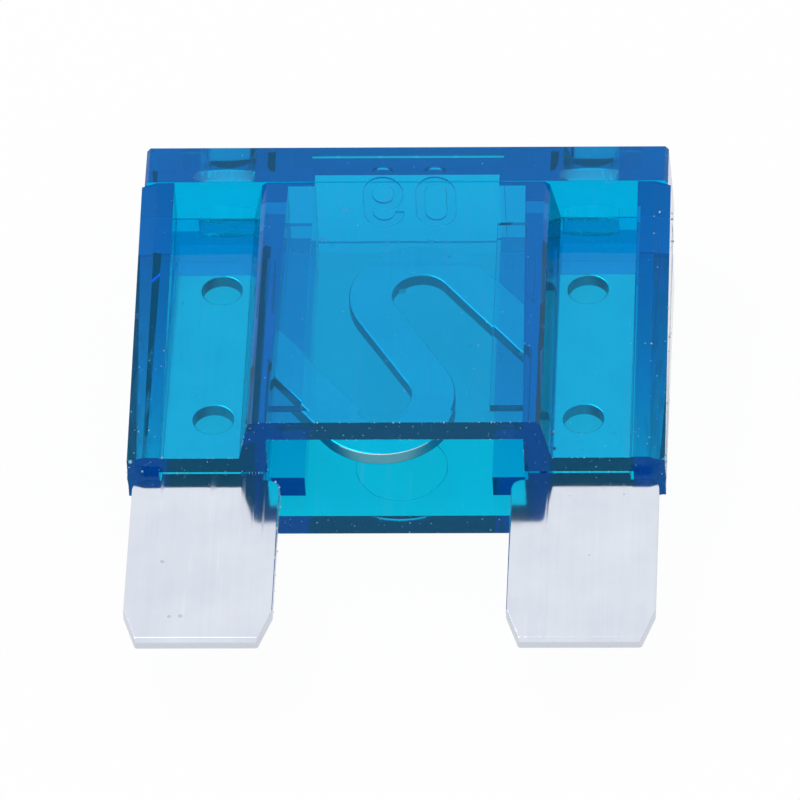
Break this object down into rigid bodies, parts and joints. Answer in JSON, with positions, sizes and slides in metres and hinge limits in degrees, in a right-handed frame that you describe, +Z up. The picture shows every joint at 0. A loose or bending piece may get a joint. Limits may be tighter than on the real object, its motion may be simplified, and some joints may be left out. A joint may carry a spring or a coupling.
{
  "type": "automotive blade fuse",
  "caption": "Large flat fuse: a clear blue moulded housing with a raised middle box, open at one end, around a stamped metal link with wide tapered blades.",
  "frame": {"origin": "on the surface the fuse lies on, under the middle of its overall width and length", "axes": "+Y to the head, -Y to the blade tips, +Z up through the thickness, X across both blades"},
  "size_m": [0.0292, 0.0342, 0.0085],
  "materials": {
    "clear_blue_plastic": "clear, smooth, light wear",
    "stamped_zinc": "bright, lightly scratched"
  },
  "bodies": {
    "root": {"housing": "clear_blue_plastic", "fuse_element": "stamped_zinc"}
  },
  "joints": []
}
